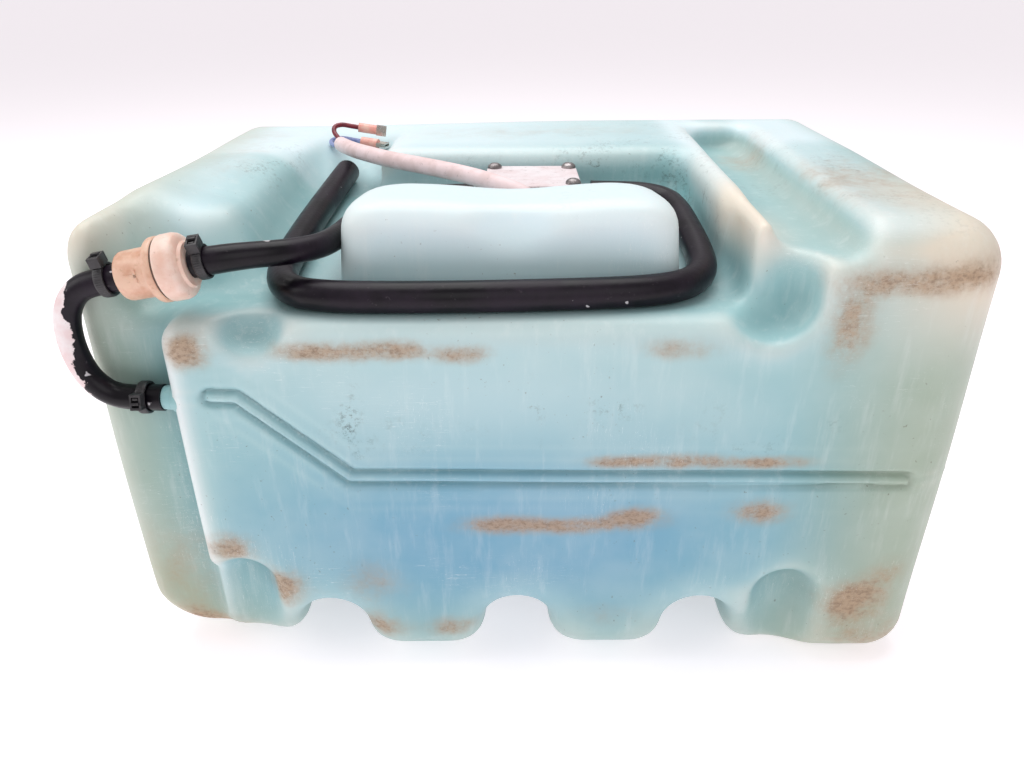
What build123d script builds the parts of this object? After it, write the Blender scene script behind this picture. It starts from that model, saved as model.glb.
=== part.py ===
from build123d import *
import os
from math import cos, radians, sin, tan

os.makedirs("parts", exist_ok=True)

# Fresh water tank with its pump, valve and hoses. Millimetres, +Z up, origin on the floor
# under the middle of the tank, front towards -Y, outlet stub at the left front corner.

# Tank block
LENGTH, DEPTH, HEIGHT = 460.0, 317.0, 272.0
WALL = 4.0
EDGE_R = 26.0
FRONT, BACK = -DEPTH / 2, DEPTH / 2
LEFT, RIGHT = -LENGTH / 2, LENGTH / 2
OVER = 40.0  # how far a cutter runs past the block

# Set-back left front corner
STEP_X = -184.0
STEP_Y = -139.5
POCKET_Y, POCKET_Z = -129.0, 222.0

# Recess in the top: a ledge at the front, a floor that rises to the back, a channel behind
LEDGE_Z, LEDGE_Y = 226.0, -118.0
FLOOR_RISE = 0.119
SHOULDER_X, SHOULDER_Y = -200.0, -105.0
RECESS_X, RECESS_Y = 101.0, 25.0
CHANNEL_X = (-145.0, -97.0)
CHANNEL_Y = 112.0
CHANNEL_END_Z = 259.0
RECESS_R = 16.0

# Hump that the hoses go round
HUMP_FRONT, HUMP_REAR = -125.0, -61.0
HUMP_TOP = 270.0
HUMP_X_FRONT = (-98.0, 79.0)
HUMP_X_REAR = (-86.0, 66.0)
HUMP_TAPER = 4.0
HUMP_R = 12.0

# Right trough, scoops for a strap, channels and pockets under the front
TROUGH_X, TROUGH_W, TROUGH_Z = 141.0, 38.0, 259.0
TROUGH_Y = (-230.0, 112.0)
SCOOPS = [(-139.0, 15.5, 226.0), (116.5, 20.5, 233.0)]  # x, radius, bottom of the straight part
SCOOP_Y = -166.0
ARCH_X = [-119.0, -8.5, 100.0]
ARCH_R, ARCH_TOP = 19.0, 47.0
TOE_POCKETS = [(-166.0, 19.0, 62.0), (147.0, 19.0, 52.0)]  # x, radius, top of the straight part
TOE_Y = -163.0

# Double groove across the front, with a rib between
GROOVE = [(-163.0, 186.5), (-150.0, 186.0), (-97.0, 137.5), (199.0, 134.0)]
GROOVE_W, RIB_W, GROOVE_DEPTH = 10.5, 4.0, 2.0

# Outlet stub on the side of the step
STUB = Vector(-184.0, -149.0, 182.0)
STUB_R, STUB_LENGTH = 6.2, 6.0
SPIGOT_R, SPIGOT_LENGTH, STUB_BORE_R = 4.9, 14.0, 3.5

# Filler and vent spigots in a pocket of the back wall
REAR_POCKET = (160.0, 190.0, 100.0, 74.0, 42.0)  # x, z, width, height, depth
FILLER_X, FILLER_Z, FILLER_R, FILLER_BORE_R = 142.0, 190.0, 20.0, 16.5
VENT_X, VENT_Z, VENT_R, VENT_BORE_R = 190.0, 205.0, 6.0, 3.5
SPIGOT_OUT = 34.0

# Pump: head on the recess floor, motor in a well below it
PUMP = Vector(3.0, -7.0, 0.0)
WELL_R, WELL_Z = 22.2, 184.0
HEAD_L, HEAD_W, HEAD_R = 56.0, 53.0, 8.0
HEAD_Z, HEAD_TOP = 241.0, 259.0
CHAMBER_R, CHAMBER_Z = 18.5, 244.5
CAM_R, CAM_OFFSET = 19.0, 1.4
GASKET_T, PLATE_T = 1.0, 2.5
PLATE_L, PLATE_W, PLATE_R = 58.0, 54.5, 7.0
SCREW_X, SCREW_Y = 24.0, 22.0
SCREW_R, SCREW_LENGTH, SCREW_HEAD_R, SCREW_HEAD_H = 2.0, 14.0, 4.6, 3.1
PORT_Z, PORT_R, PORT_BORE_R, PORT_OUT = 250.5, 4.9, 3.2, 9.0
PORT_BARB = 15.0
SHAFT_R = 3.0
RUNNING = 0.05
HUB_R, VANE_R, VANE_T, VANES = 6.0, 16.2, 1.7, 6
MOTOR_R, MOTOR_WALL, MOTOR_Z = 19.0, 1.2, 190.0
ARMATURE_R, MAGNET_R = 13.8, 14.4
COMMUTATOR_R = 5.0

# In-line non-return valve between the stub and the pump
VALVE = Vector(-196.1, -148.0, 247.4)
VALVE_TILT = 10.7
BARREL_R, BARREL_L = 12.2, 16.5
FLANGE_R, FLANGE_IN, FLANGE_OUT, CAP_END = 16.2, 4.4, 8.8, 4.3
BARB_R, BARB_BORE_R, BARB_L = 4.9, 3.3, 14.0
SEAT_R, POPPET_TRAVEL = 4.2, 4.0

# Hoses and cables
THIN_HOSE, THICK_HOSE, CABLE, WIRE = 12.7, 16.0, 10.3, 3.3
LINK_ROUTE = [
    (-190, -149, 182), (-203, -149, 182), (-216.5, -148.8, 183.5), (-226, -148.5, 192.5),
    (-230, -148.3, 205), (-230.8, -148.2, 218), (-228.5, -148.1, 230.5), (-221.5, -148, 240.5),
    (-211, -148, 245), (-196.1, -148, 247.4),
]
PUMP_ROUTE = [
    (-162.7, -148, 253.7), (-149, -147, 255.8), (-134, -143, 256.3), (-119, -135.5, 255.2),
    (-107.5, -123.5, 254), (-102, -105, 253), (-99, -80, 252.3), (-97, -50, 251.5),
    (-95, -25, 251), (-84, -10, 250.6), (-67, -6.5, 250.5), (-50, -7, 250.5), (-34, -7, 250.5),
]
DELIVERY_ROUTE = [
    (40, -7, 250.5), (56, -7, 250.5), (73, -8.5, 250.3), (86, -18, 249.3), (90, -34, 247.3),
    (91.5, -60, 243.6), (92.5, -88, 239.2), (91, -110, 235.6), (81, -127, 234.5),
    (62, -136, 234.3), (30, -140, 234.3), (-20, -143, 234.3), (-72, -143.5, 234.3),
    (-102, -142, 234.3), (-121, -135.5, 234.5), (-131, -119, 235.4), (-132, -88, 238.8),
    (-130, -45, 243.8), (-127, 0, 248.8), (-123, 44, 254.2),
]
CABLE_ROUTE = [
    (16, -33.5, 247), (16, -40, 247), (13.5, -46.5, 250), (5.5, -50.5, 256.5), (-7, -49.5, 263.2),
    (-23, -41, 267), (-42, -24.5, 268.2), (-66, -7, 269), (-88, 7.5, 269.7), (-105, 26, 269.6),
    (-121, 49, 268.5), (-131, 70, 267.7),
]
RED_ROUTE = [
    (-131.4, 70.9, 269.8), (-134, 76.5, 271), (-137.8, 81, 274), (-138, 86, 277.3),
    (-133, 90, 278), (-127, 91.2, 276.5), (-121.5, 91.5, 275.6),
]
BLUE_ROUTE = [
    (-131.3, 70.7, 265.7), (-135, 76, 265.3), (-140, 80, 266), (-141.3, 86, 267.3),
    (-137, 90.5, 268.2), (-130, 90, 267.8), (-124, 86.5, 267.2), (-118.5, 84.5, 266.8),
]
SLEEVE_R, SLEEVE_L = 3.3, 13.0
BLADE_W, BLADE_T, BLADE_L = 7.2, 2.6, 7.0


def floor_z(y):
    """Height of the recess floor: level under the front ledge, rising behind it."""
    return LEDGE_Z + FLOOR_RISE * max(0.0, y - LEDGE_Y)


def along(point, axis):
    """Plane whose Z looks along axis at point."""
    return Plane(origin=Vector(*point), z_dir=Vector(*axis))


def rounded_cutter(x, y, radius, z_low, z_high, ball_low):
    """Vertical half-round cutter with a ball at its lower or upper end."""
    with Locations((x, y, (z_low + z_high) / 2)):
        Cylinder(radius, z_high - z_low, mode=Mode.SUBTRACT)
    with Locations((x, y, z_low if ball_low else z_high)):
        Sphere(radius, mode=Mode.SUBTRACT)


def recess_cutter(grow):
    """Recess of the top: the ledge, the rising floor and the channel that leaves to the back."""
    with BuildPart() as cutter:
        with BuildSketch(Plane.XY.offset(LEDGE_Z - OVER)):
            with BuildLine():
                Polyline(
                    (SHOULDER_X - grow, FRONT - OVER),
                    (RECESS_X + grow, FRONT - OVER),
                    (RECESS_X + grow, RECESS_Y + grow),
                    (CHANNEL_X[1] + grow, RECESS_Y + grow),
                    (CHANNEL_X[1] + grow, CHANNEL_Y + grow),
                    (CHANNEL_X[0] - grow, CHANNEL_Y + grow),
                    (CHANNEL_X[0] - grow, SHOULDER_Y + grow),
                    (SHOULDER_X - grow, SHOULDER_Y + grow),
                    close=True,
                )
            face = make_face()
            corners = face.vertices().filter_by(
                lambda v: LEFT < v.X < RIGHT and FRONT < v.Y < RECESS_Y + grow + 1
            )
            fillet(corners, RECESS_R)
        extrude(amount=HEIGHT - LEDGE_Z + 2 * OVER)
        with BuildSketch(Plane.YZ.offset(LEFT - 2 * OVER)):
            with BuildLine():
                Polyline(
                    (FRONT - 2 * OVER, LEDGE_Z - 2 * OVER),
                    (BACK, LEDGE_Z - 2 * OVER),
                    (BACK, CHANNEL_END_Z - grow),
                    (RECESS_Y + 48, CHANNEL_END_Z - grow),
                    (RECESS_Y + 22, floor_z(RECESS_Y + 22) - grow),
                    (LEDGE_Y, LEDGE_Z - grow),
                    (FRONT - 2 * OVER, LEDGE_Z - grow),
                    close=True,
                )
            make_face()
        extrude(amount=LENGTH + 4 * OVER, mode=Mode.SUBTRACT)
    return cutter.part


def hump(grow):
    """Raised block on the recess floor, inset by grow where it is hollow."""
    low = LEDGE_Z - 12.0 - 3 * grow
    with BuildPart() as block:
        with BuildSketch(Plane.XY.offset(low)):
            with BuildLine():
                Polyline(
                    (HUMP_X_FRONT[0] + grow, HUMP_FRONT + grow),
                    (HUMP_X_FRONT[1] - grow, HUMP_FRONT + grow),
                    (HUMP_X_REAR[1] - grow, HUMP_REAR - grow),
                    (HUMP_X_REAR[0] + grow, HUMP_REAR - grow),
                    close=True,
                )
            face = make_face()
            fillet(face.vertices(), HUMP_R)
        extrude(amount=HUMP_TOP - grow - low, taper=HUMP_TAPER)
        fillet(block.faces().sort_by(Axis.Z)[-1].edges(), HUMP_R - grow)
    return block.part


def tank_block(grow):
    """Outside of the tank for grow = 0; the water space inside it for grow = the wall."""
    with BuildPart() as block:
        with Locations((0, 0, HEIGHT / 2)):
            Box(LENGTH - 2 * grow, DEPTH - 2 * grow, HEIGHT - 2 * grow)
        fillet(block.edges(), EDGE_R - grow)
        step_corner = (STEP_X + grow, STEP_Y + grow)
        with Locations((step_corner[0], step_corner[1], -OVER)):
            Box(2 * OVER + EDGE_R, 2 * OVER, HEIGHT + 2 * OVER,
                align=(Align.MAX, Align.MAX, Align.MIN), mode=Mode.SUBTRACT)
        with Locations((STEP_X + grow, POCKET_Y + grow, POCKET_Z - grow)):
            Box(2 * OVER + EDGE_R, 3 * OVER, HEIGHT,
                align=(Align.MAX, Align.MAX, Align.MIN), mode=Mode.SUBTRACT)
        add(recess_cutter(grow), mode=Mode.SUBTRACT)
        add(hump(grow))
        with Locations((TROUGH_X, sum(TROUGH_Y) / 2, TROUGH_Z - grow)):
            Box(TROUGH_W + 2 * grow, TROUGH_Y[1] - TROUGH_Y[0] + 2 * grow, HEIGHT,
                align=(Align.CENTER, Align.CENTER, Align.MIN), mode=Mode.SUBTRACT)
        for x, radius, low in SCOOPS:
            rounded_cutter(x, SCOOP_Y, radius + grow, low, HEIGHT + OVER, ball_low=True)
        for x, radius, top in TOE_POCKETS:
            rounded_cutter(x, TOE_Y, radius + grow, -OVER, top, ball_low=False)
        for x in ARCH_X:
            with BuildSketch(Plane.XZ.offset(FRONT - OVER)):
                with Locations((x, ARCH_TOP - ARCH_R)):
                    Circle(ARCH_R + grow)
                with Locations((x, 0)):
                    Rectangle(2 * (ARCH_R + grow), 2 * (ARCH_TOP - ARCH_R))
            extrude(amount=-(DEPTH + 4 * OVER), both=True, mode=Mode.SUBTRACT)
        with Locations((PUMP.X, PUMP.Y, WELL_Z - grow)):
            Cylinder(WELL_R + grow, HEIGHT, align=(Align.CENTER, Align.CENTER, Align.MIN),
                     mode=Mode.SUBTRACT)
        with Locations((PUMP.X, PUMP.Y, HEAD_Z - grow)):
            Box(HEAD_L + 2 * (1 + grow), HEAD_W + 2 * (1 + grow), HEIGHT,
                align=(Align.CENTER, Align.CENTER, Align.MIN), mode=Mode.SUBTRACT)
        x, z, wide, high, deep = REAR_POCKET
        with Locations((x, BACK - deep - grow, z)):
            Box(wide + 2 * grow, 2 * deep + grow, high + 2 * grow,
                align=(Align.CENTER, Align.MIN, Align.CENTER), mode=Mode.SUBTRACT)
    return block.part


def spigot(base, axis, radius, bore, length, root):
    """Moulded spigot that stands out of a wall at base, open through the wall."""
    with BuildSketch(along(Vector(*base) - Vector(*axis) * root, axis)) as outside:
        Circle(radius)
    extrude(outside.sketch, amount=length + root)
    with BuildSketch(along(Vector(*base) - Vector(*axis) * (root + WALL), axis)) as inside:
        Circle(bore)
    extrude(inside.sketch, amount=length + root + 2 * WALL, mode=Mode.SUBTRACT)


with BuildPart() as tank_shell:
    add(tank_block(0))
    with BuildSketch(Plane.XZ.offset(-FRONT)) as groove:
        with BuildLine() as path:
            Polyline(*GROOVE)
        trace(path.edges(), line_width=GROOVE_W)
        trace(path.edges(), line_width=RIB_W, mode=Mode.SUBTRACT)
    extrude(amount=-GROOVE_DEPTH, mode=Mode.SUBTRACT)
    add(tank_block(WALL), mode=Mode.SUBTRACT)
    spigot(STUB, (-1, 0, 0), SPIGOT_R, STUB_BORE_R, STUB_LENGTH + SPIGOT_LENGTH, WALL - 0.1)
    with BuildSketch(along(STUB, (-1, 0, 0))):
        Circle(STUB_R)
        Circle(STUB_BORE_R, mode=Mode.SUBTRACT)
    extrude(amount=STUB_LENGTH)
    pocket_floor = BACK - REAR_POCKET[4]
    spigot((FILLER_X, pocket_floor, FILLER_Z), (0, 1, 0), FILLER_R, FILLER_BORE_R, SPIGOT_OUT,
           WALL - 0.1)
    spigot((VENT_X, pocket_floor, VENT_Z), (0, 1, 0), VENT_R, VENT_BORE_R, SPIGOT_OUT - 8,
           WALL - 0.1)
tank_shell.part.label = "tank_shell"
print("tank solids", len(tank_shell.part.solids()), "volume", round(tank_shell.part.volume))

pieces = {"tank_shell": tank_shell.part}


def keep(name, builder):
    """Labels a finished piece and notes it for export."""
    builder.part.label = name
    pieces[name] = builder.part


# Pick-up pipe inside the tank, from the stub down to the bottom
PICKUP_ROUTE = [(-179.9, -149, 182), (-160, -149, 182), (-160, -113, 182), (-160, -113, 16)]
PICKUP_R, PICKUP_BORE_R, PICKUP_BEND = 5.0, 3.6, 14.0
with BuildPart() as pickup_pipe:
    with BuildLine() as path:
        FilletPolyline(*PICKUP_ROUTE, radius=PICKUP_BEND)
    with BuildSketch(along(PICKUP_ROUTE[0], (1, 0, 0))):
        Circle(PICKUP_R)
        Circle(PICKUP_BORE_R, mode=Mode.SUBTRACT)
    sweep()
keep("pickup_pipe", pickup_pipe)

# Pump head: a block with a round chamber, two barbed ports and a foot for the motor
SCREWS = [(PUMP.X + i * SCREW_X, PUMP.Y + j * SCREW_Y) for i in (-1, 1) for j in (-1, 1)]
with BuildPart() as pump_body:
    with BuildSketch(Plane.XY.offset(HEAD_Z)):
        with Locations((PUMP.X, PUMP.Y)):
            RectangleRounded(HEAD_L, HEAD_W, HEAD_R)
    extrude(amount=HEAD_TOP - HEAD_Z)
    with Locations((PUMP.X, PUMP.Y, PORT_Z)):
        Cylinder(PORT_R + 1.6, HEAD_L + 2 * 3.0, rotation=(0, 90, 0))
        Cylinder(PORT_R, HEAD_L + 2 * (PORT_OUT + PORT_BARB), rotation=(0, 90, 0))
    with BuildSketch(Plane.XY.offset(CHAMBER_Z)):
        with Locations((PUMP.X, PUMP.Y)):
            Circle(CHAMBER_R)
        with Locations((PUMP.X, PUMP.Y - CAM_OFFSET)):
            Circle(CAM_R, mode=Mode.INTERSECT)
    extrude(amount=HEAD_TOP - CHAMBER_Z, mode=Mode.SUBTRACT)
    for side in (-1, 1):
        with BuildSketch(Plane.YZ.offset(PUMP.X + side * (CHAMBER_R - 3))):
            with Locations((PUMP.Y, PORT_Z)):
                Circle(PORT_BORE_R)
        extrude(amount=side * HEAD_L, mode=Mode.SUBTRACT)
    with Locations((PUMP.X, PUMP.Y, HEAD_Z)):
        Cylinder(SHAFT_R + RUNNING, HEAD_TOP, mode=Mode.SUBTRACT)
        Cylinder(6.5, 4.0, mode=Mode.SUBTRACT)
    with Locations(*[(x, y, HEAD_TOP) for x, y in SCREWS]):
        Hole(SCREW_R, depth=SCREW_LENGTH - GASKET_T - PLATE_T + 0.5)
keep("pump_body", pump_body)

with BuildPart() as shaft_seal:
    with Locations((PUMP.X, PUMP.Y, HEAD_Z)):
        Cylinder(6.5, 2.0, align=(Align.CENTER, Align.CENTER, Align.MIN))
        Cylinder(SHAFT_R + RUNNING, 10.0, mode=Mode.SUBTRACT)
keep("shaft_seal", shaft_seal)


def cover_outline(margin):
    """Outline of the cover, with ears at its corners for the screws."""
    with Locations((PUMP.X, PUMP.Y)):
        RectangleRounded(PLATE_L - 2 * margin, PLATE_W - 2 * margin, PLATE_R - margin)
    with Locations(*SCREWS):
        Circle(SCREW_R + 0.1, mode=Mode.SUBTRACT)


with BuildPart() as pump_gasket:
    with BuildSketch(Plane.XY.offset(HEAD_TOP)):
        cover_outline(0.8)
        with Locations((PUMP.X, PUMP.Y)):
            Circle(CHAMBER_R, mode=Mode.SUBTRACT)
    extrude(amount=GASKET_T)
keep("pump_gasket", pump_gasket)

with BuildPart() as pump_cover:
    with BuildSketch(Plane.XY.offset(HEAD_TOP + GASKET_T)):
        cover_outline(0.0)
    extrude(amount=PLATE_T)
    chamfer(pump_cover.faces().sort_by(Axis.Z)[-1].outer_wire().edges(), 0.5)
keep("pump_cover", pump_cover)

PLATE_TOP = HEAD_TOP + GASKET_T + PLATE_T
with BuildPart() as one_screw:
    with BuildSketch(Plane.XZ):
        with BuildLine():
            Polyline((0, SCREW_HEAD_H), (0, -SCREW_LENGTH), (SCREW_R - 0.02, -SCREW_LENGTH),
                     (SCREW_R - 0.02, 0), (SCREW_HEAD_R, 0), (SCREW_HEAD_R, 1.0))
            ThreePointArc((SCREW_HEAD_R, 1.0), (SCREW_HEAD_R * 0.72, 2.45), (0, SCREW_HEAD_H))
        make_face()
    revolve(axis=Axis.Z)
    with BuildSketch(Plane.XY.offset(SCREW_HEAD_H)):
        Rectangle(4.6, 1.0, rotation=25)
        Rectangle(4.6, 1.0, rotation=115)
    extrude(amount=-1.6, mode=Mode.SUBTRACT)
with BuildPart() as cover_screws:
    with Locations(*[(x, y, PLATE_TOP) for x, y in SCREWS]):
        add(one_screw.part)
keep("cover_screws", cover_screws)

# Rotor: shaft, flexible impeller, armature and commutator
SHAFT_Z = (MOTOR_Z + 3.0, HEAD_TOP - 0.6)
IMPELLER_Z = (CHAMBER_Z + 0.3, HEAD_TOP - 0.3)
with BuildPart() as pump_shaft:
    with Locations((PUMP.X, PUMP.Y, SHAFT_Z[0])):
        Cylinder(SHAFT_R, SHAFT_Z[1] - SHAFT_Z[0], align=(Align.CENTER, Align.CENTER, Align.MIN))
keep("pump_shaft", pump_shaft)

with BuildPart() as impeller:
    with BuildSketch(Plane.XY.offset(IMPELLER_Z[0])):
        with Locations((PUMP.X, PUMP.Y)):
            Circle(HUB_R)
            with PolarLocations(VANE_R / 2, VANES):
                Rectangle(VANE_R, VANE_T)
            with PolarLocations(VANE_R, VANES):
                Circle(VANE_T * 0.75)
            Circle(SHAFT_R, mode=Mode.SUBTRACT)
    extrude(amount=IMPELLER_Z[1] - IMPELLER_Z[0])
keep("impeller", impeller)


def motor_ring(name, low, high, outer, inner):
    """Round piece about the motor's axis."""
    with BuildPart() as ring:
        with BuildSketch(Plane.XY.offset(low)):
            with Locations((PUMP.X, PUMP.Y)):
                Circle(outer)
                Circle(inner, mode=Mode.SUBTRACT)
        extrude(amount=high - low)
    keep(name, ring)
    return ring


ARMATURE_Z = (MOTOR_Z + 14.0, HEAD_Z - 9.0)
motor_ring("armature", *ARMATURE_Z, ARMATURE_R, SHAFT_R)
motor_ring("commutator", MOTOR_Z + 6.0, ARMATURE_Z[0], COMMUTATOR_R, SHAFT_R)
motor_ring("front_bearing", HEAD_Z - 4.0, HEAD_Z - 1.2, 7.0, SHAFT_R + RUNNING)
motor_ring("rear_bearing", MOTOR_Z + 2.5, MOTOR_Z + 5.5, 6.0, SHAFT_R + RUNNING)
motor_ring("motor_sleeve", WELL_Z + 14.0, HEAD_Z - 8.0, WELL_R, MOTOR_R)

with BuildPart() as motor_can:
    with BuildSketch(Plane.XY.offset(MOTOR_Z + 6.0)):
        with Locations((PUMP.X, PUMP.Y)):
            Circle(MOTOR_R)
    extrude(amount=HEAD_Z - MOTOR_Z - 6.0)
    with BuildSketch(Plane.XY.offset(MOTOR_Z + 6.0)):
        with Locations((PUMP.X, PUMP.Y)):
            Circle(MOTOR_R - MOTOR_WALL)
    extrude(amount=HEAD_Z - MOTOR_Z - 6.0 - 1.2, mode=Mode.SUBTRACT)
    with Locations((PUMP.X, PUMP.Y, HEAD_Z)):
        Cylinder(SHAFT_R + 0.8, 10, mode=Mode.SUBTRACT)
keep("motor_can", motor_can)

with BuildPart() as motor_end_cap:
    with BuildSketch(Plane.XY.offset(MOTOR_Z)):
        with Locations((PUMP.X, PUMP.Y)):
            Circle(MOTOR_R)
    extrude(amount=6.0)
    with BuildSketch(Plane.XY.offset(MOTOR_Z + 2.5)):
        with Locations((PUMP.X, PUMP.Y)):
            Circle(6.0)
    extrude(amount=3.5, mode=Mode.SUBTRACT)
keep("motor_end_cap", motor_end_cap)

with BuildPart() as magnets:
    with BuildSketch(Plane.XY.offset(ARMATURE_Z[0])):
        with Locations((PUMP.X, PUMP.Y)):
            Circle(MOTOR_R - MOTOR_WALL)
            Circle(MAGNET_R, mode=Mode.SUBTRACT)
            Rectangle(12, 3 * MOTOR_R, mode=Mode.SUBTRACT)
    extrude(amount=ARMATURE_Z[1] - ARMATURE_Z[0])
keep("magnets", magnets)

with BuildPart() as brushes:
    for side in (-1, 1):
        with Locations((PUMP.X + side * (COMMUTATOR_R + RUNNING), PUMP.Y, MOTOR_Z + 8.0)):
            Box(9.0, 4.0, 4.5, align=(Align.MIN if side > 0 else Align.MAX, Align.CENTER, Align.MIN))
keep("brushes", brushes)

# Non-return valve, made along its own tilted axis
VALVE_AXIS = Vector(cos(radians(VALVE_TILT)), 0, sin(radians(VALVE_TILT)))


def valve_plane(distance):
    """Plane across the valve at a distance from its inlet face."""
    return along(VALVE + VALVE_AXIS * distance, VALVE_AXIS)


def valve_disc(start, end, radius, mode=Mode.ADD):
    """Round stretch of the valve between two distances."""
    with BuildSketch(valve_plane(start)) as disc:
        Circle(radius)
    extrude(disc.sketch, amount=end - start, mode=mode)


SEAM = BARREL_L + FLANGE_IN
VALVE_END = SEAM + FLANGE_OUT + CAP_END
SEAT = 8.0
with BuildPart() as valve_inlet:
    valve_disc(0, BARREL_L, BARREL_R)
    valve_disc(BARREL_L, SEAM, FLANGE_R)
    valve_disc(-BARB_L, 0, BARB_R)
    valve_disc(-BARB_L, SEAM, BARB_BORE_R, Mode.SUBTRACT)
    valve_disc(SEAT, SEAM, 10.2, Mode.SUBTRACT)
    valve_disc(SEAM - 2.0, SEAM, 13.5, Mode.SUBTRACT)
keep("valve_inlet", valve_inlet)

with BuildPart() as valve_outlet:
    valve_disc(SEAM, SEAM + FLANGE_OUT, FLANGE_R)
    valve_disc(SEAM + FLANGE_OUT, VALVE_END, 12.0)
    valve_disc(VALVE_END, VALVE_END + BARB_L, BARB_R)
    valve_disc(SEAM, SEAM + 7.0, 10.2, Mode.SUBTRACT)
    valve_disc(SEAM, VALVE_END + BARB_L, BARB_BORE_R, Mode.SUBTRACT)
keep("valve_outlet", valve_outlet)

with BuildPart() as valve_seal:
    valve_disc(SEAM - 2.0, SEAM, 13.5)
    valve_disc(SEAM - 2.0, SEAM, 10.2, Mode.SUBTRACT)
keep("valve_seal", valve_seal)

with BuildPart() as poppet:
    valve_disc(SEAT + 1.6, SEAT + 4.0, 9.0)
    valve_disc(SEAT + 4.0, SEAT + 12.0, 2.4)
keep("poppet", poppet)

with BuildPart() as poppet_seal:
    valve_disc(SEAT, SEAT + 1.6, 8.0)
keep("poppet_seal", poppet_seal)

SPRING_START, SPRING_END = SEAT + 4.0, SEAM + 7.0
SPRING_PITCH, SPRING_COIL_R, SPRING_WIRE_R = 4.2, 4.2, 0.45
with BuildPart() as poppet_spring:
    with BuildLine() as coil:
        Helix(SPRING_PITCH, SPRING_END - SPRING_START - 1.2, SPRING_COIL_R)
    with BuildSketch(Plane(origin=coil.line @ 0, z_dir=coil.line % 0)):
        Circle(SPRING_WIRE_R)
    sweep(is_frenet=True)
spring_place = Location(Plane(origin=VALVE + VALVE_AXIS * (SPRING_START + 0.6), z_dir=VALVE_AXIS))
poppet_spring.part.locate(spring_place)
keep("poppet_spring", poppet_spring)


# Cable ties: a band round the hose and a square head on top
def cable_tie(name, centre, axis, radius, head_angle):
    """Tie with its band round axis at centre and its head turned head_angle from up."""
    band_t, band_w, head = 1.3, 4.7, (5.6, 5.2, 8.2)
    plane = Plane(origin=Vector(*centre), x_dir=Vector(0, 0, 1).cross(Vector(*axis)),
                  z_dir=Vector(*axis))
    with BuildPart() as tie:
        with BuildSketch(plane.offset(-band_w / 2)):
            Circle(radius + band_t)
            Circle(radius, mode=Mode.SUBTRACT)
        extrude(amount=band_w)
        with Locations(plane * Rot(0, 0, head_angle) * Pos(0, radius + head[1] / 2 + 0.6, 0)):
            Box(head[2], head[1], head[0])
    keep(name, tie)


STRETCHED = 7.25
cable_tie("outlet_tie", (-199.5, -149, 182.3), (-1, 0, 0), STRETCHED, -75)
cable_tie("valve_inlet_tie", (-205, -148, 246), (0.985, 0, 0.17), STRETCHED, 8)
cable_tie("valve_outlet_tie", (-157.5, -147.8, 254.6), (0.986, 0.05, 0.16), STRETCHED, 20)


# Hoses, cable and wires
def corner_radii(points):
    """Largest arc that each corner's runs leave room for."""
    path = [Vector(*p) for p in points]
    radii = []
    for before, corner, after in zip(path, path[1:], path[2:]):
        turn = (corner - before).get_angle(after - corner)
        shorter = min((corner - before).length, (after - corner).length)
        radii.append(0.45 * shorter / tan(radians(turn) / 2))
    return radii


def tube(name, points, diameter):
    """Tube of one diameter along straight runs joined by tangent arcs."""
    radii = corner_radii(points)
    with BuildPart() as body:
        with BuildLine() as path:
            FilletPolyline(*points, radius=radii)
        wire = path.wires()[0]
        with BuildSketch(along(points[0], Vector(*points[1]) - Vector(*points[0]))):
            Circle(diameter / 2)
        sweep(path=wire)
    share = body.part.volume / (3.14159265 * diameter**2 / 4 * wire.length)
    print(name, "length", round(wire.length, 1), "volume share", round(share, 4),
          "radii", [round(r, 1) for r in radii])
    keep(name, body)


tube("link_hose", LINK_ROUTE, THIN_HOSE)
tube("pump_hose", PUMP_ROUTE, THIN_HOSE)
tube("delivery_hose", DELIVERY_ROUTE, THICK_HOSE)
tube("pump_cable", CABLE_ROUTE, CABLE)
tube("red_wire", RED_ROUTE, WIRE)
tube("blue_wire", BLUE_ROUTE, WIRE)


def end_plane(route):
    """Plane at the far end of a route, looking the way it points."""
    last, before = Vector(*route[-1]), Vector(*route[-2])
    return along(last, last - before)


with BuildPart() as terminal_sleeves:
    for route in (RED_ROUTE, BLUE_ROUTE):
        with BuildSketch(end_plane(route)):
            Circle(SLEEVE_R)
        extrude(amount=SLEEVE_L)
keep("terminal_sleeves", terminal_sleeves)

with BuildPart() as terminal_clips:
    for route in (RED_ROUTE, BLUE_ROUTE):
        with BuildSketch(end_plane(route).offset(SLEEVE_L)):
            Rectangle(BLADE_W, BLADE_T)
            Rectangle(BLADE_W - 1.6, BLADE_T - 1.4, mode=Mode.SUBTRACT)
        extrude(amount=BLADE_L)
keep("terminal_clips", terminal_clips)

with BuildPart() as cable_gland:
    with BuildSketch(along((16, -33.5, 247), (0, -1, 0))):
        Circle(6.6)
        Circle(CABLE / 2 + 0.3, mode=Mode.SUBTRACT)
    extrude(amount=4.0)
keep("cable_gland", cable_gland)

for name, piece in pieces.items():
    export_step(piece, f"parts/{name}.step")
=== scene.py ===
import bmesh
import bpy
import numpy as np
from math import cos, pi, radians, sin
from mathutils import Matrix, Vector


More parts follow.
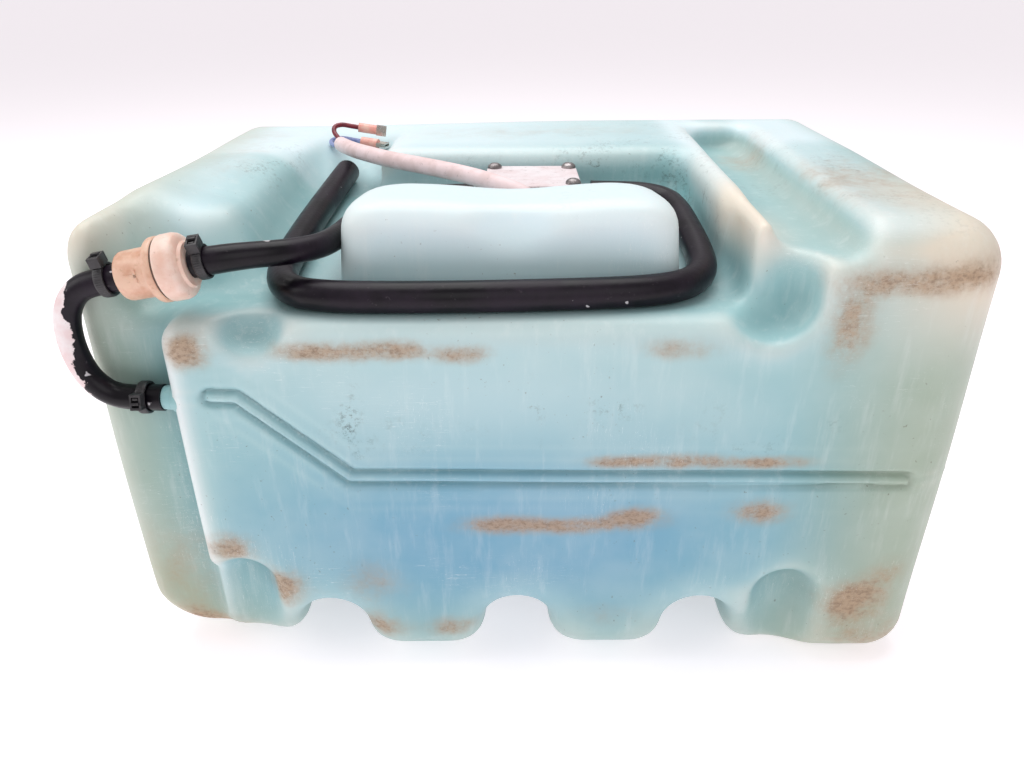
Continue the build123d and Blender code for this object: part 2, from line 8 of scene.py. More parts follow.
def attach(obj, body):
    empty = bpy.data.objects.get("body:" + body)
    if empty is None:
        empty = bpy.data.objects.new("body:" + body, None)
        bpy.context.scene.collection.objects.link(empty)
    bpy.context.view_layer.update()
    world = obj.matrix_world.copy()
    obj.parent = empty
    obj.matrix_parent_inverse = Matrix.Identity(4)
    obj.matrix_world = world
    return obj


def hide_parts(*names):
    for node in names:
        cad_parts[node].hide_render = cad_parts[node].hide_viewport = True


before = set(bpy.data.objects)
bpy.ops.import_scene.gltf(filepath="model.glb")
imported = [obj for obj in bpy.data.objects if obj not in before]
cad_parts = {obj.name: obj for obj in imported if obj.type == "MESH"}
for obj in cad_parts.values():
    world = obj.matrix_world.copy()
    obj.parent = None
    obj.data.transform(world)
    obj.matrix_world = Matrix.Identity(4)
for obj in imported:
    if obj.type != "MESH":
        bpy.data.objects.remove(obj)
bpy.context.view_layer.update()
MM = 0.001


# ---------------------------------------------------------------- camera
def camera():
    """Camera at the photograph's viewpoint."""
    pitch, yaw, roll = 0.4798, -0.001, 0.0053
    turn = (Matrix.Rotation(yaw, 3, "Z") @ Matrix.Rotation(-pitch, 3, "X")
            @ Matrix.Rotation(roll, 3, "Y"))
    right, forward, up = turn.col[0], turn.col[1], turn.col[2]
    data = bpy.data.cameras.new("camera")
    data.lens, data.sensor_width = 27.96, 36.0
    data.clip_start, data.clip_end = 0.01, 50.0
    cam = bpy.data.objects.new("camera", data)
    place = Matrix((right, up, -forward)).transposed().to_4x4()
    place.translation = (-0.0111, -0.5108, 0.3769)
    cam.matrix_world = place
    bpy.context.scene.collection.objects.link(cam)
    bpy.context.scene.camera = cam


# ---------------------------------------------------------------- materials
class Shade:
    """Small helper that builds one node material."""

    def __init__(self, name, rough=0.5, metal=0.0, spec=0.5):
        self.mat = bpy.data.materials.new(name)
        self.mat.use_nodes = True
        self.tree = self.mat.node_tree
        self.bsdf = self.tree.nodes["Principled BSDF"]
        self.set(self.bsdf, Roughness=rough, Metallic=metal)
        self.bsdf.inputs["Specular IOR Level"].default_value = spec
        self.where = self.tree.nodes.new("ShaderNodeTexCoord").outputs["Object"]

    def set(self, node, **values):
        for key, value in values.items():
            socket = node.inputs[key.replace("_", " ")]
            if isinstance(value, bpy.types.NodeSocket):
                self.tree.links.new(value, socket)
            else:
                socket.default_value = value

    def mapped(self, scale=(1, 1, 1), turn=(0, 0, 0)):
        node = self.tree.nodes.new("ShaderNodeMapping")
        self.set(node, Vector=self.where, Scale=scale, Rotation=turn)
        return node.outputs["Vector"]

    def noise(self, scale, detail=3.0, rough=0.55, where=None, distort=0.0):
        node = self.tree.nodes.new("ShaderNodeTexNoise")
        self.set(node, Vector=where or self.where, Scale=scale, Detail=detail,
                 Roughness=rough, Distortion=distort)
        return node.outputs["Fac"]

    def step(self, value, low, high, start=0.0, end=1.0):
        """value mapped smoothly from low..high to start..end."""
        node = self.tree.nodes.new("ShaderNodeMapRange")
        node.interpolation_type = "SMOOTHSTEP"
        self.set(node, Value=value, From_Min=low, From_Max=high, To_Min=start, To_Max=end)
        return node.outputs["Result"]

    def math(self, kind, a, b=0.0):
        node = self.tree.nodes.new("ShaderNodeMath")
        node.operation = kind
        for socket, value in zip(node.inputs, (a, b)):
            if isinstance(value, bpy.types.NodeSocket):
                self.tree.links.new(value, socket)
            else:
                socket.default_value = value
        return node.outputs["Value"]

    def mix(self, amount, a, b, blend="MIX"):
        node = self.tree.nodes.new("ShaderNodeMix")
        node.data_type, node.blend_type = "RGBA", blend
        for index, value in ((0, amount), (6, a), (7, b)):
            socket = node.inputs[index]
            if isinstance(value, bpy.types.NodeSocket):
                self.tree.links.new(value, socket)
            else:
                socket.default_value = (*value, 1) if isinstance(value, tuple) else value
        return node.outputs[2]

    def mask(self, name):
        node = self.tree.nodes.new("ShaderNodeAttribute")
        node.attribute_name = name
        return node.outputs["Fac"]

    def bump(self, height, strength, distance, under=None):
        node = self.tree.nodes.new("ShaderNodeBump")
        self.set(node, Height=height, Strength=strength, Distance=distance)
        if under is not None:
            self.set(node, Normal=under)
        return node.outputs["Normal"]

    def done(self, colour, normal=None, rough=None):
        self.set(self.bsdf, Base_Color=colour)
        if normal is not None:
            self.set(self.bsdf, Normal=normal)
        if rough is not None:
            self.set(self.bsdf, Roughness=rough)
        return self.mat


def worn(name, colour, shadow, rough, metal=0.0, scale=60.0, grain=900.0, depth=0.0002,
         spec=0.5, dust=None, brushed=None):
    """Colour mottled with a darker shade, fine grain, and dust or brushing where asked."""
    s = Shade(name, rough, metal, spec)
    blotch = s.step(s.noise(scale, 4.0), 0.35, 0.7)
    tone = s.mix(blotch, colour, shadow)
    if dust:
        tone = s.mix(s.step(s.noise(scale * 3, 6.0, 0.7), 0.58, 0.75, 0.0, 0.55), tone, dust)
    fine = s.noise(grain, 2.0, where=s.mapped(brushed) if brushed else None)
    return s.done(tone, s.bump(fine, 0.35, depth), s.step(blotch, 0, 1, rough - 0.05, rough + 0.1))


def tank_material():
    """Translucent blow-moulded plastic: aqua body, creamy edges, brown wear, grime, scratches; painted
    shade in hollows and grooves, painted highlights on edges and upper faces.
    """
    s = Shade("tank_plastic", 0.42, 0.0, 0.42)
    s.bsdf.inputs["Subsurface Weight"].default_value = 0.12
    s.bsdf.inputs["Subsurface Radius"].default_value = (0.6, 1.0, 1.0)
    s.bsdf.inputs["Subsurface Scale"].default_value = 0.008
    cloud = s.noise(14.0, 4.0, 0.6)
    body = s.mix(s.mask("deep"), (0.275, 0.50, 0.515), (0.16, 0.375, 0.52))
    # Painted shade: darker teal in hollows, along the front grooves and, from the shadow spots, under
    # the valve and hoses
    body = s.mix(s.mask("shade"), body, (0.07, 0.23, 0.25))
    # Painted highlight: lighter on convex edges, top faces, the hump, the upper front and one edge of
    # the step
    body = s.mix(s.mask("painted_highlight"), body, (0.70, 0.83, 0.87))
    body = s.mix(s.mask("olive"), body, (0.36, 0.41, 0.29))
    # Creamy tint towards the right and top, with painted highlight on convex edges
    body = s.mix(s.mask("cream_and_edge_highlight"), body, (0.80, 0.68, 0.54))
    body = s.mix(s.step(cloud, 0.35, 0.7, 0.0, 0.15), body, (0.72, 0.80, 0.77))
    down = s.noise(30.0, 5.0, 0.65, s.mapped((5.0, 5.0, 0.7)))
    body = s.mix(s.step(down, 0.5, 0.75, 0.0, 0.16), body, (0.82, 0.86, 0.84))
    spread = s.math("MULTIPLY", s.math("SUBTRACT", s.noise(42.0, 10.0, 0.74), 0.5), 3.0)
    ragged = s.math("MULTIPLY", s.mask("stain"), s.math("ADD", spread, 1.15))
    haze = s.step(ragged, 0.15, 1.25, 0.0, 0.85)
    body = s.mix(haze, body, (0.42, 0.27, 0.16))
    dirt = s.noise(430.0, 6.0, 0.8, s.mapped((0.7, 1.0, 1.1)))
    crisp = s.math("MULTIPLY", s.step(ragged, 0.5, 1.2), s.step(dirt, 0.44, 0.64))
    body = s.mix(s.math("MULTIPLY", crisp, 0.6), body, (0.17, 0.11, 0.07))
    patch = s.step(s.noise(38.0, 4.0, 0.6), 0.46, 0.62)
    speck = s.math("MULTIPLY", s.math("MULTIPLY", s.mask("grime"), patch),
                   s.step(s.noise(300.0, 6.0, 0.8), 0.5, 0.62))
    body = s.mix(s.math("MULTIPLY", speck, 0.85), body, (0.05, 0.055, 0.045))
    dots = s.math("MULTIPLY", s.step(s.noise(420.0, 2.0), 0.70, 0.76),
                  s.step(s.noise(9.0, 3.0), 0.5, 0.62))
    body = s.mix(s.math("MULTIPLY", dots, 0.5), body, (0.12, 0.09, 0.06))
    marks = None
    for stretch, turn in (((4.0, 60, 60), (0.3, 0.5, 0.9)), ((60, 60, 5.0), (0.2, 0.35, 0.1)),
                          ((60, 60, 6.0), (0.1, -0.6, 0.3))):
        line = s.math("ABSOLUTE", s.math("SUBTRACT", s.noise(9.0, 2.0, 0.5,
                      s.mapped(stretch, turn)), 0.5))
        line = s.math("MULTIPLY", s.step(line, 0.0, 0.0045, 1.0, 0.0),
                      s.step(s.noise(11.0, 3.0, 0.6, s.mapped((1, 1, 1), turn)), 0.56, 0.66))
        marks = line if marks is None else s.math("MAXIMUM", marks, line)
    body = s.mix(s.math("MULTIPLY", marks, 0.5), body, (0.93, 0.95, 0.94))
    low = s.bump(cloud, 0.25, 0.0016)
    fine = s.bump(s.noise(700.0, 3.0), 0.12, 0.0003, low)
    cut = s.bump(marks, -0.25, 0.0002, fine)
    rough = s.step(s.math("MAXIMUM", crisp, marks), 0, 1, 0.40, 0.62)
    return s.done(body, cut, rough)


# ---------------------------------------------------------------- tank surface
SPOTS = {
    # place (mm), reach (mm), strength. The second group is painted shadow under the valve, the hoses
    # and the ledge, added into the painted shade
    "stain": [
        ((-170, -158, 212), (11, 12, 9), 1.0), ((-100, -158, 212), (26, 12, 5), 1.0),
        ((-66, -158, 212), (14, 12, 5), 0.8), ((-34, -158, 210), (12, 12, 5), 0.9),
        ((71, -158, 212), (22, 12, 6), 0.6), ((153, -158, 222), (11, 14, 19), 1.0),
        ((175, -152, 246), (28, 16, 7), 0.9), ((212, -140, 249), (22, 30, 9), 0.8),
        ((44, -158, 147), (16, 10, 4), 0.9), ((80, -158, 147), (16, 10, 5), 1.0),
        ((122, -158, 146), (22, 10, 4), 0.9), ((-18, -158, 106), (24, 10, 6), 0.9),
        ((24, -158, 105), (16, 10, 5), 0.9), ((58, -158, 110), (16, 10, 7), 1.0),
        ((124, -158, 114), (15, 10, 8), 1.0), ((-169, -158, 91), (14, 12, 10), 0.9),
        ((-143, -158, 62), (11, 14, 14), 1.0), ((-92, -158, 66), (24, 12, 18), 0.5),
        ((-90, -156, 30), (14, 16, 10), 0.8), ((-46, -156, 30), (14, 16, 8), 0.8),
        ((184, -158, 50), (16, 18, 14), 1.0), ((204, -152, 69), (12, 20, 14), 0.6),
        ((205, -150, 20), (26, 26, 16), 0.8), ((40, -156, 40), (30, 16, 10), 0.4),
        ((-206, -139, 60), (26, 12, 40), 0.5), ((-206, -139, 14), (30, 14, 12), 0.9),
        ((185, -60, 272), (45, 60, 8), 0.6), ((150, 60, 262), (16, 30, 10), 0.7),
        ((-190, 10, 268), (26, 90, 14), 0.35), ((0, 90, 272), (150, 30, 8), 0.35),
        ((226, 20, 200), (8, 100, 30), 0.5), ((60, 158, 214), (90, 10, 8), 0.7),
        ((-120, 158, 120), (60, 10, 30), 0.5), ((-229, 40, 150), (8, 70, 8), 0.6),
    ],
    # Painted shadow, under the valve, the hoses and the ledge
    "painted_shadow": [
        ((-206, -137, 196), (30, 12, 30), 1.0), ((-165, -146, 232), (36, 12, 12), 0.9),
        ((-148, -120, 230), (18, 30, 8), 0.7), ((-212, -139, 120), (20, 10, 60), 0.4),
        ((190, -158, 120), (40, 10, 80), 0.3),
    ],
    "grime": [
        ((104, -20, 250), (8, 40, 14), 0.9), ((60, 26, 256), (50, 6, 12), 0.8),
        ((-60, 26, 256), (40, 6, 12), 0.5), ((112, -158, 166), (16, 10, 10), 0.8),
        ((40, -158, 180), (10, 10, 7), 0.6), ((-94, -158, 176), (4, 10, 26), 0.7),
        ((148, -158, 166), (7, 10, 7), 0.5), ((143, 20, 261), (14, 60, 6), 0.7),
        ((-165, 10, 266), (18, 40, 8), 0.6), ((-70, -158, 164), (30, 10, 8), 0.35),
        ((36, -100, 268), (20, 22, 5), 0.35), ((192, -60, 271), (40, 60, 6), 0.5),
        ((90, 60, 271), (60, 60, 5), 0.4), ((2, -158, 180), (3, 10, 16), 0.5),
    ],
}


def soft_max(a, b, k):
    """Larger of two fields, blended over the width k."""
    h = np.maximum(k - np.abs(a - b), 0.0) / k
    return np.maximum(a, b) + h * h * k * 0.25


def soft_min(a, b, k):
    """Smaller of two fields, blended over the width k."""
    return -soft_max(-a, -b, k)


def ramp(value, low, high):
    """0 below low, 1 above high, smooth between."""
    t = np.clip((value - low) / (high - low), 0, 1)
    return t * t * (3 - 2 * t)


def floor_height(y):
    """Recess floor: level under the front ledge, rising to the back and out of the channel."""
    rise = 226.0 + 0.119 * soft_max(y + 118.0, 0.0 * y, 12.0)
    return rise + 0.30 * soft_max(y - 45.0, 0.0 * y, 25.0)


GROOVE_OFF = 3.8    # each groove's distance from the line between the pair


def groove_distance(x, z):
    """Distance from the front's grooved line, in the plane of the front."""
    route = [(-163, 186.5), (-150, 186), (-97, 137.5), (199, 134)]
    best = np.full(np.broadcast(x, z).shape, 1e9)
    for (ax, az), (bx, bz) in zip(route, route[1:]):
        dx, dz = bx - ax, bz - az
        t = np.clip(((x - ax) * dx + (z - az) * dz) / (dx * dx + dz * dz), 0, 1)
        best = np.minimum(best, np.hypot(x - ax - t * dx, z - az - t * dz))
    return best


def capsule_up(x, y, z, place, radius, low, high):
    """Upright rod with ball ends."""
    return np.sqrt((x - place[0]) ** 2 + (y - place[1]) ** 2
                   + (z - np.clip(z, low, high)) ** 2) - radius


def tank_field(x, y, z):
    """Below zero inside the tank, above zero outside. Millimetres."""
    left, right = ramp(-x, -40, 230), ramp(x, -40, 230)
    front, back = ramp(-y, -60, 158), ramp(y, -60, 158)
    upper = ramp(z, 110, 250)
    # The left front foot of the moulding stands a little off the floor
    lift = 15.0 * (1 - ramp(z, 30, 115)) * ramp(-x, 90, 200) * front
    z_block = z - lift - upper * (4.0 * left * front - 2.5 * left * back + 1.6 * right * back)
    radius = 27.0 + 7.0 * ramp(-z, -70, -10) * ramp(-x, -190, -120)
    wobble = 0.5 * np.sin(x / 37 + 1) * np.sin(z / 29) + 0.4 * np.sin(y / 33 + x / 51)
    qx, qy = np.abs(x) - (230 - radius), np.abs(y) - (158.5 - radius)
    qz = np.abs(z_block - 136) - (136 - radius)
    outside = np.sqrt(np.maximum(qx, 0) ** 2 + np.maximum(qy, 0) ** 2 + np.maximum(qz, 0) ** 2)
    f = outside + np.minimum(np.maximum(np.maximum(qx, qy), qz), 0) - radius
    f = f + wobble * ramp(z, 2, 30)

    step = soft_max(x + 184, y + 139.5, 9)
    pocket = soft_max(soft_max(x + 188, y + 129 - 0.25 * np.maximum(z - 240, 0), 14),
                      soft_max(222 - z, -213 - x, 16), 22)
    f = soft_max(f, -soft_min(step, pocket, 8), 9)

    floor = floor_height(y)
    lean = 0.62 * np.maximum(z - floor, 0)
    left_wall = (-142 - x - lean) * 0.85
    well = soft_max(soft_max(x - 104, left_wall, 10), y - 26, 22)
    ledge = soft_max(x - 104, y + 110 - 0.5 * np.maximum(z - floor, 0), 16)
    ledge = soft_max(ledge, -198 - x - 0.3 * np.maximum(z - floor, 0), 16)
    channel = soft_max(soft_max(x + 97.5, left_wall, 10), y - 122, 10)
    plan = soft_min(soft_min(well, ledge, 22), channel, 5)
    f = soft_max(f, -soft_max(plan, floor - z, 12), 14)

    along = np.clip((y + 120) / 130, 0, 1)
    valley = np.hypot(x + 186 - 26 * along, z - 292) - 27 + 5 * along + 0.12 * np.abs(y + 60)
    f = soft_max(f, -valley, 18)

    sag = 3.5 * np.exp(-((x + 9) / 34) ** 2)
    slope = (z - 226) * 0.07
    sides = soft_max((-104 - x) + (y + 125) * 0.1875, (x - 81.5) + (y + 125) * 0.203, 4) + slope
    ends = soft_max(-125 - y + slope, y + 61 + slope, 4)
    hump = soft_max(soft_max(sides, ends, 19), z - (274.5 - sag), 15)
    dimple = np.sqrt((x + 9) ** 2 * 0.55 + (y + 132) ** 2 + (z - 269) ** 2) - 13
    hump = soft_max(hump, -dimple, 12)
    f = soft_min(f, soft_max(hump, 215 - z, 2), 7)

    trough = soft_max(soft_max(np.abs(x - 141 - 0.02 * y) - 19 - 0.25 * (z - 259), y - 112, 16),
                      255 - z, 10)
    f = soft_max(f, -trough, 9)
    for place, r, low in (((-139, -159), 17, 227), ((117, -156), 21, 235)):
        f = soft_max(f, -capsule_up(x, y, z, place, r, low, 330), 6)
    for place, high in (((-166, -161), 62), ((147, -161), 52)):
        f = soft_max(f, -capsule_up(x, y, z, place, 19, -60, high), 9)
    for place in (-119, -8.5, 100):
        arch = np.hypot(x - place, z - np.clip(z, -60, 25)) - 19
        f = soft_max(f, -arch, 23)

    off_line = groove_distance(x, z)
    fade = ramp(-y, 143, 150)
    grooves = 3.0 * np.exp(-((off_line - GROOVE_OFF) / 1.5) ** 2)
    ridge = 1.1 * np.exp(-(off_line / 1.7) ** 2)
    f = f + fade * (grooves - ridge)
    seam = np.exp(-((z - 186.3) / 0.8) ** 2) * ramp(-x, 160, 168) * fade
    seam += np.exp(-((z - 134) / 0.8) ** 2) * ramp(x, 196, 204) * ramp(-y, -80, 0)
    f = f - 0.35 * seam

    rear = soft_max(soft_max(np.abs(x - 160) - 50, np.abs(z - 190) - 37, 12), 116.5 - y, 8)
    f = soft_max(f, -rear, 9)
    filler = soft_max(np.hypot(x - 142, z - 190) - 16.5, 60 - y, 1)
    seat = soft_max(np.maximum(np.abs(x - 3) - 29, np.abs(y + 7) - 27.5), 241 - z, 2)
    motor = soft_max(np.hypot(x - 3, y + 7) - 22.4, 184 - z, 2)
    for hole in (filler, seat, motor):
        f = np.maximum(f, -hole)
    return f


def graded(low, high, coarse, *fine):
    """Grid lines from low to high, closer together between the limits of each fine stretch."""
    lines = [low]
    while lines[-1] < high:
        step = coarse
        for start, end, close in fine:
            if start <= lines[-1] <= end:
                step = close
        lines.append(lines[-1] + step)
    return np.array(lines)


def surface(field, axes):
    """Mesh of a field's zero surface: one point in each cell that it crosses."""
    grid = np.meshgrid(*axes, indexing="ij", sparse=True)
    value = field(*grid)
    inside = value < 0
    shape = [n - 1 for n in inside.shape]
    total = np.zeros((*shape, 3))
    count = np.zeros(shape)
    corner = [slice(0, -1), slice(1, None)]
    for axis in range(3):
        others = [a for a in range(3) if a != axis]
        for i in (0, 1):
            for j in (0, 1):
                start = [None] * 3
                start[axis] = corner[0]
                start[others[0]], start[others[1]] = corner[i], corner[j]
                end = list(start)
                end[axis] = corner[1]
                a, b = value[tuple(start)], value[tuple(end)]
                cross = (a < 0) != (b < 0)
                t = np.where(cross, a / np.where(cross, a - b, 1), 0)
                for d in range(3):
                    line = axes[d]
                    view = [1, 1, 1]
                    view[d] = -1
                    low, high = line[:-1].reshape(view), line[1:].reshape(view)
                    if d == axis:
                        at = low + (high - low) * t
                    else:
                        at = (high if (i if d == others[0] else j) else low) + 0 * t
                    total[..., d] += np.where(cross, at, 0)
                count += cross
    used = count > 0
    number = np.full(shape, -1)
    number[used] = np.arange(used.sum())
    points = total[used] / count[used][:, None]
    faces = []
    for axis in range(3):
        others = [a for a in range(3) if a != axis]
        low = [slice(1, -1)] * 3
        low[axis] = slice(0, -1)
        high = list(low)
        high[axis] = slice(1, None)
        a, b = inside[tuple(low)], inside[tuple(high)]
        where = np.argwhere(a != b)
        leaves = a[a != b]
        base = where + 1
        base[:, axis] -= 1
        ring = []
        for i, j in ((1, 1), (0, 1), (0, 0), (1, 0)):
            cell = base.copy()
            cell[:, others[0]] -= i
            cell[:, others[1]] -= j
            ring.append(number[cell[:, 0], cell[:, 1], cell[:, 2]])
        quad = np.stack(ring, 1)
        turn = leaves if axis != 1 else ~leaves
        quad[~turn] = quad[~turn][:, ::-1]
        faces.append(quad)
    return points, np.concatenate(faces)


def pull_to_surface(field, points, rounds=3):
    """Moves each point along the field's slope on to the surface."""
    for _ in range(rounds):
        value = field(*points.T)
        slope = np.stack([(field(*(points + step).T) - field(*(points - step).T)) / 0.8
                          for step in np.eye(3) * 0.4], 1)
        size = np.maximum((slope ** 2).sum(1), 0.3)
        points = points - np.clip(value / size, -1.2, 1.2)[:, None] * slope
    return points


PROBE, EDGE_SCALE = 16.0, 40.0


def tank_masks(points):
    """Amount of each tint, painted shade and painted highlight at each point, from its place and from
    how edged or hollow it is.
    """
    x, y, z = points.T
    # Sum of the field a little way off in six directions: above zero on edges, below in hollows. It
    # sets the painted highlight on edges and the painted shade in hollows
    hollow = np.zeros(len(points))
    for step in ((1, 0, 0), (-1, 0, 0), (0, 1, 0), (0, -1, 0), (0, 0, 1), (0, 0, -1)):
        hollow += np.clip(tank_field(*(points + np.array(step) * PROBE).T), -PROBE, PROBE)
    edge = hollow / EDGE_SCALE
    front = ramp(-y, 120, 156)
    middle = np.exp(-((x + 10) / 160) ** 2 - ((z - 98) / 62) ** 2)
    masks = {
        "deep": np.clip(front * middle * 1.15 - np.clip(edge, 0, 1) * 0.9, 0, 1),
        # Painted shade in hollows and along the two front grooves
        "shade": np.clip(-edge * 0.95 - 0.08, 0, 0.75) + 0.5 * np.exp(
            -((groove_distance(x, z) - GROOVE_OFF) / 1.6) ** 2) * ramp(-y, 143, 150),
        # Painted highlight: upper front band, hump, top faces, convex edges, scoop rim and the step's
        # edge
        "painted_highlight": np.clip(front * 0.42 * np.exp(-((x + 30) / 150) ** 2 - ((z - 190) / 38) ** 2)
                        + (0.7 + 0.3 * ramp(z, 240, 264))
                        * np.exp(-((x + 9) / 104) ** 6 - ((y + 92) / 42) ** 6)
                        + 0.5 * ramp(z, 262, 270) * ramp(y, 20, 60) + np.clip(edge, 0, 1) * 0.55
                        + 0.75 * np.exp(-((x - 117) / 14) ** 2) * ramp(z, 248, 268)
                        + 0.6 * ramp(-x, 150, 190) * ramp(z, 240, 262)
                        + 0.7 * np.exp(-((x + 182) / 5) ** 2) * ramp(-y, 138, 152)
                        + 0.45 * ramp(z, 236, 256) * ramp(y, 15, 30) * ramp(-x, -100, 80)
                        + 0.5 * ramp(x, 150, 170) * ramp(z, 262, 270) * ramp(-x, -215, -190),
                        0, 1),
        # Creamy tint towards the right and top; its term on convex edges is painted highlight
        "cream_and_edge_highlight": np.clip(ramp(x, 120, 222) * ramp(z, 190, 246) * ramp(-z, -270, -258) * 0.9
                         + 0.35 * ramp(x, 196, 226) * ramp(z, 255, 270)
                         + 0.3 * ramp(-x, 190, 230) * ramp(z, 240, 270)
                         + np.clip(edge - 0.2, 0, 1) * 0.6
                         + 0.7 * np.exp(-((x - 112) / 20) ** 2 - ((y + 98) / 40) ** 2)
                         * ramp(z, 236, 258)
                         + 0.7 * ramp(x, 150, 210) * ramp(-y, 10, 120) * ramp(z, 250, 268)
                         + 0.25 * ramp(y, 120, 158), 0, 0.85),
        "olive": np.clip(ramp(x, 120, 205) * ramp(-z, -255, -190) * 0.8 + ramp(-x, 178, 220) * 0.6
                         + ramp(-z, -60, -4) * 0.3 + 0.5 * ramp(-x, 140, 215) * ramp(-z, -110, -10)
                         + 0.3 * ramp(y, 120, 158), 0, 0.85),
    }
    for name, spots in SPOTS.items():
        total = np.zeros(len(points))
        for place, reach, strength in spots:
            away = ((points - np.array(place)) / np.array(reach)) ** 2
            total += strength * np.exp(-0.7 * away.sum(1))
        masks[name] = np.clip(total, 0, 1)
    # The painted shadow spots are added to the painted shade
    masks["shade"] = np.clip(masks["shade"] + 0.5 * masks.pop("painted_shadow"), 0, 0.8)
    return masks


def tank():
    """Visual tank, which stands for the CAD shell."""
    coarse, at_bend, at_front, at_grooves = 3.35, (-166, -92, 1.9), (-164, -150, 1.9), (129, 190, 1.5)
    axes = [graded(-236, 236, coarse, at_bend), graded(-164, 164, coarse, at_front),
            graded(-5, 281, coarse, at_grooves)]
    points, faces = surface(tank_field, axes)
    points = pull_to_surface(tank_field, points)
    mesh = bpy.data.meshes.new("tank")
    mesh.from_pydata((points * MM).tolist(), [], faces.tolist())
    mesh.shade_smooth()

    masks = tank_masks(points)
    for name, mask in masks.items():
        layer = mesh.attributes.new(name, "FLOAT", "POINT")
        layer.data.foreach_set("value", mask.astype(np.float32))
    shell = bpy.data.objects.new("tank_moulding", mesh)
    bpy.context.scene.collection.objects.link(shell)
    mesh.materials.append(tank_material())
    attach(shell, "tank")
    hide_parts("tank_shell")
    return shell


# ---------------------------------------------------------------- small pieces
def turned(name, profile, origin, axis, material, around=48):
    """Lathe ring: the closed profile is (distance along the axis, radius) in millimetres."""
    along = Vector(axis).normalized()
    side = along.orthogonal().normalized()
    other = along.cross(side)
    verts, faces = [], []
    for distance, radius in profile:
        for k in range(around):
            angle = 2 * pi * k / around
            spot = Vector(origin) + along * distance + (side * cos(angle) + other * sin(angle)) * radius
            verts.append(spot * MM)
    for row in range(len(profile)):
        here, after = row * around, (row + 1) % len(profile) * around
        for k in range(around):
            turn = (k + 1) % around
            faces.append((here + k, here + turn, after + turn, after + k))
    mesh = bpy.data.meshes.new(name)
    mesh.from_pydata(verts, [], faces)
    return finish_piece(name, mesh, material, 35)


def finish_piece(name, mesh, material, smooth=None, bevel=None):
    """Object from a mesh, cleaned, bevelled and shaded smooth below an angle in degrees."""
    bm = bmesh.new()
    bm.from_mesh(mesh)
    bmesh.ops.remove_doubles(bm, verts=bm.verts, dist=1e-6)
    bmesh.ops.recalc_face_normals(bm, faces=bm.faces)
    if bevel:
        sharp = [e for e in bm.edges if len(e.link_faces) == 2 and e.calc_face_angle() > 0.5]
        bmesh.ops.bevel(bm, geom=sharp, offset=bevel * MM, segments=2, affect="EDGES", profile=0.6)
    if smooth:
        for face in bm.faces:
            face.smooth = True
        for e in bm.edges:
            e.smooth = len(e.link_faces) == 2 and e.calc_face_angle() < radians(smooth)
    bm.to_mesh(mesh)
    bm.free()
    piece = bpy.data.objects.new(name, mesh)
    bpy.context.scene.collection.objects.link(piece)
    mesh.materials.append(material)
    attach(piece, "tank")
    return piece


def blocks(name, boxes, place, material, bevel=0.35):
    """Several bevelled boxes in one piece; place turns local millimetres into the frame."""
    bm = bmesh.new()
    for centre, size in boxes:
        made = bmesh.ops.create_cube(bm, size=1.0)["verts"]
        for v in made:
            v.co = Vector([c + p * s for c, p, s in zip(centre, v.co, size)])
    for v in bm.verts:
        v.co = place @ v.co * MM
    mesh = bpy.data.meshes.new(name)
    bm.to_mesh(mesh)
    bm.free()
    return finish_piece(name, mesh, material, 40, bevel)


def axes_at(origin, along, up_hint, turn=0.0):
    """Matrix whose Z is along, with Y near up_hint turned about Z."""
    z = Vector(along).normalized()
    x = Vector(up_hint).cross(z).normalized()
    y = z.cross(x)
    place = Matrix((x, y, z)).transposed().to_4x4()
    place.translation = Vector(origin)
    return place @ Matrix.Rotation(radians(turn), 4, "Z")


def cable_tie(name, node, centre, along, radius, turn, material):
    """Ribbed band round the hose, its head with the strap through it, and the cut tail."""
    place = axes_at(centre, along, (0, 0, 1), turn)
    around, band = 96, []
    bm = bmesh.new()
    for k in range(around):
        angle = 2 * pi * k / around
        rib = 0.0 if k % 2 else 0.18
        for r, w in ((radius, -2.35), (radius + 1.1, -2.35), (radius + 1.25 + rib, -1.5),
                     (radius + 1.25 + rib, 1.5), (radius + 1.1, 2.35), (radius, 2.35)):
            band.append(bm.verts.new((r * cos(angle), r * sin(angle), w)))
    for k in range(around):
        a, b = k * 6, ((k + 1) % around) * 6
        for j in range(6):
            bm.faces.new((band[a + j], band[a + (j + 1) % 6], band[b + (j + 1) % 6], band[b + j]))
    head = radius + 3.2
    boxes = (
        ((-3.4, head, 0), (1.4, 5.2, 5.6)), ((3.4, head, 0), (1.4, 5.2, 5.6)),
        ((0, head, 2.3), (6, 5.2, 1.0)), ((0, head, -2.3), (6, 5.2, 1.0)),
        ((0, head - 1.6, 0), (6, 1.9, 4.4)), ((0.6, head + 1.1, 0), (1.3, 4.6, 3.9)),
        ((-1.6, head + 0.3, 0), (1.2, 4.2, 2.6)),
    )
    for centre_box, size in boxes:
        for v in bmesh.ops.create_cube(bm, size=1.0)["verts"]:
            v.co = Vector([c + p * s for c, p, s in zip(centre_box, v.co, size)])
    for v in bm.verts:
        v.co = place @ v.co * MM
    mesh = bpy.data.meshes.new(name)
    bm.to_mesh(mesh)
    bm.free()
    piece = finish_piece(name, mesh, material, 30, 0.12)
    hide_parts(node)
    return piece


